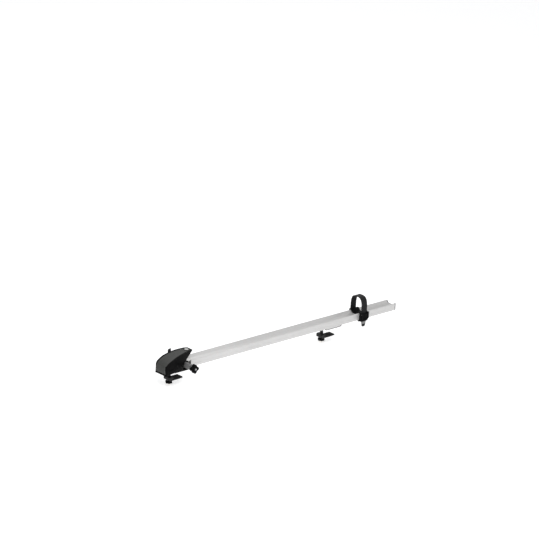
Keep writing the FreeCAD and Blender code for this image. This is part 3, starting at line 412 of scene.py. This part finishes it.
def pick(piece, test):
    """Selects only those faces that pass a test, in edit mode, and counts them."""
    take(piece)
    bpy.ops.object.mode_set(mode="EDIT")
    bpy.ops.mesh.select_mode(type="FACE")
    bpy.ops.mesh.select_all(action="DESELECT")
    shape = bmesh.from_edit_mesh(piece.data)
    chosen = [face for face in shape.faces if test(face)]
    for face in chosen:
        face.select_set(True)
    shape.select_flush_mode()
    bmesh.update_edit_mesh(piece.data)
    return len(chosen)


def middle(face):
    """The middle of a face, in millimetres."""
    return face.calc_center_median() / MM


def outline(name, corners):
    """A filled outline through points in millimetres."""
    take_none()
    bpy.ops.mesh.primitive_circle_add(vertices=len(corners), radius=0.01, fill_type="NGON")
    piece = bpy.context.object
    piece.name = name
    bpy.ops.object.mode_set(mode="EDIT")
    bpy.ops.mesh.select_mode(type="VERT")
    for index, corner in enumerate(corners):
        bpy.ops.mesh.select_all(action="DESELECT")
        shape = bmesh.from_edit_mesh(piece.data)
        shape.verts.ensure_lookup_table()
        vertex = shape.verts[index]
        vertex.select_set(True)
        bpy.ops.transform.translate(value=Vector(corner) * MM - vertex.co)
    bpy.ops.mesh.select_all(action="SELECT")
    return piece


def pull(x, y, z):
    """Extrudes what is selected by a vector in millimetres."""
    bpy.ops.mesh.extrude_region_move(TRANSFORM_OT_translate={"value": (x * MM, y * MM, z * MM)})


def tidy_normals(piece):
    """Makes every face look outwards."""
    take(piece)
    bpy.ops.object.mode_set(mode="EDIT")
    bpy.ops.mesh.select_all(action="SELECT")
    bpy.ops.mesh.normals_make_consistent(inside=False)
    bpy.ops.object.mode_set(mode="OBJECT")


def apply_modifier(piece, kind, **settings):
    """Adds a modifier with its settings and applies it."""
    take(piece)
    modifier = piece.modifiers.new(kind.lower(), kind)
    for label, value in settings.items():
        setattr(modifier, label, value)
    bpy.ops.object.modifier_apply(modifier=modifier.name)


SMOOTH_ANGLE = math.radians(35)


def soften(piece, width, segments=2, angle=30):
    """Rounds the sharp edges and shades the rest smooth."""
    apply_modifier(
        piece, "BEVEL", width=width * MM, segments=segments, limit_method="ANGLE",
        angle_limit=math.radians(angle),
    )
    bpy.ops.object.shade_smooth_by_angle(angle=SMOOTH_ANGLE)


def prism(name, corners, x=0, y=0, z=0):
    """An outline pulled into a solid."""
    piece = outline(name, corners)
    pull(x, y, z)
    tidy_normals(piece)
    return piece


def slice_off(piece, point, normal):
    """Cuts away what lies beyond a plane and closes the cut."""
    take(piece)
    bpy.ops.object.mode_set(mode="EDIT")
    bpy.ops.mesh.select_all(action="SELECT")
    bpy.ops.mesh.bisect(
        plane_co=Vector(point) * MM, plane_no=Vector(normal).normalized(),
        clear_outer=True, use_fill=True, threshold=0.000001,
    )
    bpy.ops.object.mode_set(mode="OBJECT")


def belong(piece, body, finish, *stands_for, slot=None):
    """Gives a finished piece its body, its finish and the CAD nodes it stands for."""
    take(piece)
    if finish:
        piece.data.materials.clear()
        piece.data.materials.append(finish)
    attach(piece, body)
    if stands_for:
        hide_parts(*stands_for)
    print(piece.name, len(piece.data.polygons), "faces")


# %% [markdown]
# Castings and mouldings never have the sharp edges of a CAD solid. A copy of the node's mesh
# is merged, because it comes as loose triangles, its flat faces are joined again, and then
# its edges are rounded by a small bevel that catches the light. The buckle's frame also
# loses its lower rear corner, as the real one does.

# %% Softened copies of CAD nodes
def softened(node, body, finish, radius, slot, segments=2, cuts=()):
    """A merged copy of a CAD node, cut by planes, with rounded edges, which stands for it."""
    take_none()
    piece = nodes[node].copy()
    piece.data = nodes[node].data.copy()
    scene.collection.objects.link(piece)
    piece.parent = None
    piece.matrix_world = Matrix.Identity(4)
    piece.name = node + "_soft"
    take(piece)
    bpy.ops.object.mode_set(mode="EDIT")
    bpy.ops.mesh.select_all(action="SELECT")
    bpy.ops.mesh.remove_doubles(threshold=0.00002)
    bpy.ops.mesh.dissolve_limited(angle_limit=math.radians(1.5))
    bpy.ops.mesh.normals_make_consistent(inside=False)
    bpy.ops.object.mode_set(mode="OBJECT")
    for point, normal in cuts:
        slice_off(piece, point, normal)
    soften(piece, radius, segments)
    belong(piece, body, finish, node, slot=slot)


BUCKLE_CORNER_CUT = ((1014, 0, 20), (1, 0, -1))
softened("rail", "carrier", anodised, 0.35, "anodised_aluminium")
softened("rear_end_cap", "carrier", cap_moulding, 0.5, "end_cap_plastic")
softened("head_base", "carrier", black_casting, 1.2, "black_casting", 3)
softened("front_jaw", "front_jaw", black_casting, 1.5, "black_casting", 3)
softened("rear_jaw", "rear_jaw", black_casting, 1.5, "black_casting", 3)
softened("rear_saddle", "rear_clamp", anodised, 0.6, "anodised_aluminium")
softened("wheel_cradle", "wheel_holder", black_moulding, 0.6, "black_plastic")
softened(
    "buckle_frame", "wheel_holder", black_moulding, 0.7, "black_plastic",
    cuts=[BUCKLE_CORNER_CUT],
)
softened("far_anchor", "wheel_holder", black_moulding, 1.0, "black_plastic", 3)
softened("front_clamp_bolt", "carrier", zinc_steel, 0.4, "bright_steel")
softened("lever_saddle", "skewer", black_moulding, 0.5, "black_plastic")
softened("axle_sleeve", "carrier", grey_casting, 0.8, "sleeve_metal", 3)
softened("front_bar_pad", "carrier", soft_rubber, 0.8, "bar_rubber")
softened("rear_bar_pad", "rear_clamp", soft_rubber, 0.5, "bar_rubber")

# %% [markdown]
# The hood is a moulded cover: one side outline from the nose to the thin rear tip, widest at
# the front and about half as wide at the tip. It is drawn from the side, pulled to its width
# and then cut by planes, as a carver cuts a block. On each side two cuts taper it between
# three half widths, and three more round the corner of the nose, each at a place and a turn.

# %% Hood block
HOOD_LINE = [
    (-90.5, 4), (-93, 0.3), (-98, 0), (-101.2, 3), (-102, 14), (-101, 24), (-98.2, 33),
    (-93.5, 41), (-87, 48), (-78.5, 54), (-67, 60), (-53, 65.5), (-34, 71), (-12, 75.5),
    (13, 78.6), (40, 80), (57, 78), (55, 75), (5, 33), (1, 24), (-3, 9), (-9, 7),
]
HOOD_HALF = 34
HOOD_SIDE = [(-60, HOOD_HALF), (4, 26), (57, 16)]
NOSE_CUTS = [(-91.5, 33.4, 17), (-96.6, 31, 42), (-100.4, 26.4, 66)]
hood = prism("hood_cover", [(x, -HOOD_HALF, z) for x, z in HOOD_LINE], y=2 * HOOD_HALF)
for side in (1, -1):
    for (x, half), (next_x, next_half) in zip(HOOD_SIDE, HOOD_SIDE[1:]):
        slice_off(hood, (x, side * half, 0), (half - next_half, side * (next_x - x), 0))
    for x, y, turn in NOSE_CUTS:
        lean = math.radians(turn)
        slice_off(hood, (x, side * y, 0), (-math.sin(lean), side * math.cos(lean), 0))
print("hood block:", len(hood.data.polygons), "faces")

# %% [markdown]
# A textured grey skin runs over the top and down the nose, and the black sides stand round
# it as a low rim. Insetting the whole strip of top faces at once makes the rim, and the
# inner faces sink by 1.6 mm.

# %% Grey band and rim
RIM_WIDTH = 6.4
RIM_HEIGHT = 1.6


def on_top(face):
    """Whether a face belongs to the top or the rounded nose."""
    normal = face.normal
    return (abs(normal.y) < 0.1 and normal.z > 0.3) or (normal.x < -0.35 and normal.z > -0.3)


count = pick(hood, on_top)
bpy.ops.mesh.inset(
    thickness=RIM_WIDTH * MM, depth=-RIM_HEIGHT * MM, use_boundary=True, use_even_offset=False,
)
bpy.ops.object.mode_set(mode="OBJECT")
hood.data.materials.append(black_moulding)
hood.data.materials.append(grey_skin)
for face in hood.data.polygons:
    face.material_index = 1 if face.select else 0
print("faces in the grey band:", count)

# %% [markdown]
# The real cover is hollow and open below, where the head's casting stands. The lower and
# rear faces go, and Solidify gives the rest its wall of 2.4 mm. The face at the very tip
# stays.

# %% Hollow the hood
HOOD_WALL = 2.4
TIP_HEIGHT = 76


def is_open(face):
    """Whether a black face looks down or back and lies below the tip."""
    if abs(face.normal.y) >= 0.1 or face.material_index:
        return False
    return (face.normal.z < -0.3 or face.normal.x > 0.7) and middle(face).z < TIP_HEIGHT


print("faces that open the hood:", pick(hood, is_open))
bpy.ops.mesh.delete(type="FACE")
apply_modifier(hood, "SOLIDIFY", thickness=HOOD_WALL * MM, offset=-1, use_even_offset=True)
soften(hood, 0.9, 3, 28)
belong(hood, "hood", None, "hood", slot="hood_plastic")

# %% [markdown]
# Two lugs under the nose hold the hood on its hinge pin. They are plates with a rounded end.

# %% Hood hinge lugs
LUG_LINE = [
    (-83.5, 1), (-85.7, 5.5), (-96, 13), (-96, 5.5), (-91.2, -2.6), (-88, -3.5), (-84.9, -2.6),
]
LUG_WIDTH = 11.7
for name, start_y in (("hood_lug_far", 6.3), ("hood_lug_near", -18.0)):
    lug = prism(name, [(x, start_y, z) for x, z in LUG_LINE], y=LUG_WIDTH)
    soften(lug, 1.0, 3)
    belong(lug, "hood", black_moulding, slot="hood_plastic")

# %% [markdown]
# The lock sits in a low oval collar. A ring is drawn as a disc, raised, and its middle is
# inset and pushed down to leave the opening for the barrel.

# %% Lock collar
LOCK_X = 38
HALF_LENGTH = 11.4
HALF_WIDTH = 9.8
COLLAR_FOOT = 77.4
COLLAR_HEIGHT = 2.1
COLLAR_WALL = 1.2
ring = [
    (LOCK_X + HALF_LENGTH * math.cos(turn), HALF_WIDTH * math.sin(turn), COLLAR_FOOT)
    for turn in (math.tau * step / 48 for step in range(48))
]
collar = prism("lock_collar", ring, z=COLLAR_HEIGHT)
pick(collar, lambda face: face.normal.z > 0.9)
bpy.ops.mesh.inset(thickness=COLLAR_WALL * MM)
pull(0, 0, -1.0)
soften(collar, 0.3, 2)
belong(collar, "hood", black_moulding, slot="hood_plastic")

# %% [markdown]
# All three knobs are lobed grips. The outline is a circle whose radius swells at each lobe;
# raising the cosine's share to a power makes wide lobes with narrow hollows between them.
# The body is pulled out in one step, and its rim is rounded generously for the fingers.

# %% Lobed knobs
GRIP_RIM = 2.6
GRIP_DISH = 1.4
NECK_STEP = 3.6
CLAMP_GRIP = {"radius": 14.4, "depth": 2.8, "count": 6, "height": 9.1, "neck": 2.6}
NUT_GRIP = {"radius": 18.9, "depth": 6.5, "count": 4, "height": 14.6, "neck": 0.2}


def lobed(radius, depth, count, points=96):
    """Pairs of a round outline with lobes."""
    pairs = []
    for step in range(points):
        turn = math.tau * step / points
        swell = (0.5 + 0.5 * math.cos(count * turn)) ** 0.6
        reach = radius - depth * (1 - swell)
        pairs.append((reach * math.cos(turn), reach * math.sin(turn)))
    return pairs


def make_knob(name, centre, direction, radius, depth, count, height, neck):
    """A lobed grip about an axis along Y or Z, hollow in the middle of its outer face."""
    x, y, z = centre
    corners = []
    for u, v in lobed(radius, depth, count):
        corners.append((x + u, y, z + v) if direction[1] else (x + u, y + v, z))
    knob = prism(name, corners, y=direction[1] * height, z=direction[2] * height)
    pick(knob, lambda face: face.normal.dot(Vector(direction)) > 0.95)
    bpy.ops.mesh.inset(thickness=GRIP_RIM * MM)
    pull(*(Vector(direction) * -GRIP_DISH))
    pick(knob, lambda face: face.normal.dot(Vector(direction)) < -0.95)
    bpy.ops.mesh.inset(thickness=NECK_STEP * MM)
    pull(*(Vector(direction) * -neck))
    return knob


front_knob = make_knob("front_knob_grip", (-49, 0, -37.4), (0, 0, -1), **CLAMP_GRIP)
rear_knob = make_knob("rear_knob_grip", (788, 0, -37.4), (0, 0, -1), **CLAMP_GRIP)
nut_knob = make_knob("nut_knob_grip", (22, -62.3, 20), (0, -1, 0), **NUT_GRIP)
for knob, body, node in (
    (front_knob, "front_knob", "front_clamp_knob"),
    (rear_knob, "rear_knob", "rear_clamp_knob"),
    (nut_knob, "nut", "adjusting_knob"),
):
    soften(knob, 1.3, 4, 40)
    belong(knob, body, black_moulding, node, slot="black_plastic")

# %% [markdown]
# The skewer's lever is a painted casting with a round barrel, so its copy gets wide rounded
# edges.

# %% Skewer lever
softened("skewer_lever", "lever", black_casting, 1.0, "lever_paint", 3)

# %% [markdown]
# The strap is a flat moulded band, 30 mm wide and 3 mm thick, that stands up by its own
# stiffness. Its arch is flatter on top than a circle, with straight sides, so its line is a
# superellipse. The band's outline is pulled to its width in one step. Four cuts taper the
# tail, so that it finds its way into the buckle: each has a point, across from the middle
# and in height, and a normal. The outer face gets a raised border by an inset.

# %% Strap band
STRAP_HALF = 32.7
STRAP_THICKNESS = 3.0
STRAP_WIDTH = 30
STRAP_EDGE = 978.0
STRAP_MIDDLE = STRAP_EDGE + STRAP_WIDTH / 2
ARCH_FOOT = 51.5
ARCH_RISE = 54.0
ARCH_POWER = 2 / 3.1
TAIL_CUTS = [((15, 12), (30, -6.5)), ((8.8, -17), (1, -1.4))]
TAIL_END = -19
# Between these two heights the near side of the tail is painted pale grey as a painted highlight.
HIGHLIGHT_FOOT = -8
HIGHLIGHT_TOP = 6.1


def arch_point(turn, thick):
    """A point of the strap's line, moved out by half its thickness."""
    across = math.copysign(abs(math.cos(turn)) ** ARCH_POWER, math.cos(turn))
    return (
        (STRAP_HALF + thick) * across,
        ARCH_FOOT + (ARCH_RISE + thick) * abs(math.sin(turn)) ** ARCH_POWER,
    )


def strap_line(thick):
    """One face of the strap from the tail's tip over the arch to the fixed end."""
    near = [(-STRAP_HALF - thick, height) for height in (-19.8, -8, 6, 20, 34, 46)]
    over = [arch_point(math.pi * (1 - step / 40), thick) for step in range(41)]
    far = [(STRAP_HALF + thick, height) for height in (46, 36, 24.2)]
    return near + over + far


band = strap_line(STRAP_THICKNESS / 2) + list(reversed(strap_line(-STRAP_THICKNESS / 2)))
strap = prism("strap_band", [(STRAP_EDGE, y, z) for y, z in band], x=STRAP_WIDTH)
for side in (1, -1):
    for (across, height), (lean_x, lean_z) in TAIL_CUTS:
        point = (STRAP_MIDDLE + side * across, 0, height)
        slice_off(strap, point, (side * lean_x, 0, lean_z))


def outer_face(face):
    """Whether a face is on the strap's outer side."""
    spot = middle(face)
    if abs(face.normal.x) > 0.5:
        return False
    away = Vector((0, spot.y, max(spot.z - ARCH_FOOT, 0)))
    return face.normal.dot(away) > 0 and spot.z > TAIL_END


print("outer faces of the strap:", pick(strap, outer_face))
bpy.ops.mesh.inset(thickness=3.2 * MM, depth=-0.5 * MM, use_even_offset=True)
strap.data.materials.append(strap_skin)
strap.data.materials.append(tail_painted_highlight)
bpy.ops.object.mode_set(mode="OBJECT")
# Near-side faces between those heights get the painted highlight.
for face in strap.data.polygons:
    highlit = HIGHLIGHT_FOOT < face.center.z / MM < HIGHLIGHT_TOP and face.center.y < 0
    face.material_index = 1 if highlit else 0
soften(strap, 0.4, 2, 40)
belong(strap, "wheel_holder", None, "wheel_strap", slot="strap_plastic")

# %% [markdown]
# The near side carries the teeth that the buckle's pawl bites: one saw tooth is modelled,
# then copied at a pitch of 6 mm, each copy with its own mesh. The lowest teeth lie in the
# tail's painted highlight, a pale grey on the black strap.

# %% Strap teeth
TOOTH_LINE = [(-33.6, -8.0), (-35.5, -7.2), (-35.5, -6.2), (-33.6, -3.6)]
TOOTH_MARGIN = 5
TOOTH_PITCH = 6
TOOTH_COUNT = 13
HIGHLIGHT_TEETH = 3


def moved_copy(piece, name, shift):
    """A copy with a mesh of its own, moved by a vector in millimetres."""
    take(piece)
    bpy.ops.object.duplicate(linked=False)
    copy = bpy.context.object
    copy.name = name
    bpy.ops.object.mode_set(mode="EDIT")
    bpy.ops.mesh.select_all(action="SELECT")
    bpy.ops.transform.translate(value=[distance * MM for distance in shift])
    bpy.ops.object.mode_set(mode="OBJECT")
    return copy


tooth = prism(
    "strap_tooth_0", [(STRAP_EDGE + TOOTH_MARGIN, y, z) for y, z in TOOTH_LINE],
    x=STRAP_WIDTH - 2 * TOOTH_MARGIN,
)
soften(tooth, 0.25, 2)
teeth = [tooth]
for step in range(1, TOOTH_COUNT):
    teeth.append(moved_copy(tooth, f"strap_tooth_{step}", (0, 0, TOOTH_PITCH * step)))
for number, piece in enumerate(teeth):
    # The lowest teeth sit in the painted highlight and take its pale grey.
    finish = tail_painted_highlight if number < HIGHLIGHT_TEETH else strap_skin
    belong(piece, "wheel_holder", finish, slot="strap_plastic")

# %% [markdown]
# The buckle's lever is a thin curved paddle on a barrel, with ribs for the thumb. Its face
# leans out by 0.6 mm over 11 mm of height, and the ribs follow it.

# %% Buckle lever
PADDLE_LINE = [
    (-36.7, 37.2), (-37.5, 38.4), (-39.4, 38.9), (-41.4, 38.3), (-42.3, 36.6), (-42.8, 26),
    (-43.4, 15), (-45.2, 10.8), (-44.6, 10.1), (-42.3, 10.3), (-41.1, 13), (-40.4, 20),
    (-39.6, 30), (-36.9, 34.4),
]
PADDLE_EDGE = 980.6
PADDLE_WIDTH = 24.8
PADDLE_TOP = 26
THUMB_RIB_EDGE = 984
THUMB_RIB_WIDTH = 18
THUMB_RIB_LINE = [(-42.2, 0), (-43.7, 0.4), (-43.7, 1.0), (-42.2, 1.4)]
paddle = prism("buckle_paddle", [(PADDLE_EDGE, y, z) for y, z in PADDLE_LINE], x=PADDLE_WIDTH)
soften(paddle, 0.5, 3)
belong(paddle, "buckle_lever", black_moulding, "buckle_lever", slot="black_plastic")
for number, height in enumerate((13.5, 16.5, 19.5, 22.5)):
    lean = (PADDLE_TOP - height) / 11 * 0.6
    corners = [(THUMB_RIB_EDGE, y - lean, height + rise) for y, rise in THUMB_RIB_LINE]
    rib = prism(f"paddle_rib_{number}", corners, x=THUMB_RIB_WIDTH)
    soften(rib, 0.25, 2)
    belong(rib, "buckle_lever", black_moulding, slot="black_plastic")

# %% [markdown]
# A shallow finger recess on each side of the hood: a bar with round ends is subtracted by a
# Boolean, as a mould's insert would leave it.

# %% Side recesses
RECESS_ENDS = [(-50, -90), (-80, 90)]
RECESS_HEIGHT = 24
RECESS_RADIUS = 4
RECESS_DEPTH = 1.1
CUTTER_DEPTH = 4
for side in (1, -1):
    bar = []
    for end_x, start in RECESS_ENDS:
        for step in range(13):
            turn = math.radians(start + 15 * step)
            bar.append((
                end_x + RECESS_RADIUS * math.cos(turn),
                side * (HOOD_HALF - RECESS_DEPTH),
                RECESS_HEIGHT + RECESS_RADIUS * math.sin(turn),
            ))
    cutter = prism("recess_cutter", bar, y=side * CUTTER_DEPTH)
    apply_modifier(hood, "BOOLEAN", operation="DIFFERENCE", solver="EXACT", object=cutter)
    take(cutter)
    bpy.ops.object.delete()
take(hood)
bpy.ops.object.shade_smooth_by_angle(angle=SMOOTH_ANGLE)
print("hood after the recesses:", len(hood.data.polygons), "faces")

# %% [markdown]
# Short ribs follow the slanted rear edge of each side: they stiffen the thin wall there and
# give a grip when the hood is lifted. One rib is a slim bar across the edge's line; the
# others are copies, each moved along the line and in towards the narrower tip.

# %% Ribs on the hood's sides
RIB_LINE = [(11, 43.5), (12.2, 42.1), (5.6, 36.6), (4.4, 38.0)]
RIB_PITCH_X = 3.8
RIB_PITCH_Z = 3.2
RIB_COUNT = 10
RIB_DEPTH = 1.5
RIB_SINK = 0.8
(bend_x, bend_half), (tip_x, tip_half) = HOOD_SIDE[1:]
rear_taper = (bend_half - tip_half) / (tip_x - bend_x)
for side, label in ((1, "far"), (-1, "near")):
    corners = [
        (x, side * (bend_half - (x - bend_x) * rear_taper - RIB_SINK), z) for x, z in RIB_LINE
    ]
    rib = prism(f"hood_rib_{label}_0", corners, y=side * RIB_DEPTH)
    soften(rib, 0.3, 2)
    ribs = [rib]
    for step in range(1, RIB_COUNT):
        along = RIB_PITCH_X * step
        shift = (along, -side * along * rear_taper, RIB_PITCH_Z * step)
        ribs.append(moved_copy(rib, f"hood_rib_{label}_{step}", shift))
    for piece in ribs:
        belong(piece, "hood", black_moulding, slot="hood_plastic")

# %% [markdown]
# Every other CAD node keeps its mesh and only gets its finish: turned pins, bolts, washers
# and ribbed pads.

# %% Finishes on the CAD nodes that stay
FINISHES = {
    soft_rubber: ("front_jaw_pad", "rear_jaw_pad"),
    zinc_steel: (
        "hood_hinge_pin", "skewer_rod", "skewer_eye", "lever_pin", "rear_t_bolt",
        "joint_screws", "anchor_screws", "lock_tongue",
    ),
    dark_steel: ("front_washer", "rear_washer", "nut_core", "buckle_pin"),
    satin_nickel: ("lock_cylinder",),
    turned_brass: ("front_knob_nut", "rear_knob_nut"),
}
for finish, names in FINISHES.items():
    for name in names:
        nodes[name].data.materials.clear()
        nodes[name].data.materials.append(finish)

# %% [markdown]
# The box round the CAD model, measured when it was loaded, is printed in metres.

# %% Finish
take_none()
print("CAD box", [[round(c, 4) for c in v] for v in cad_box])
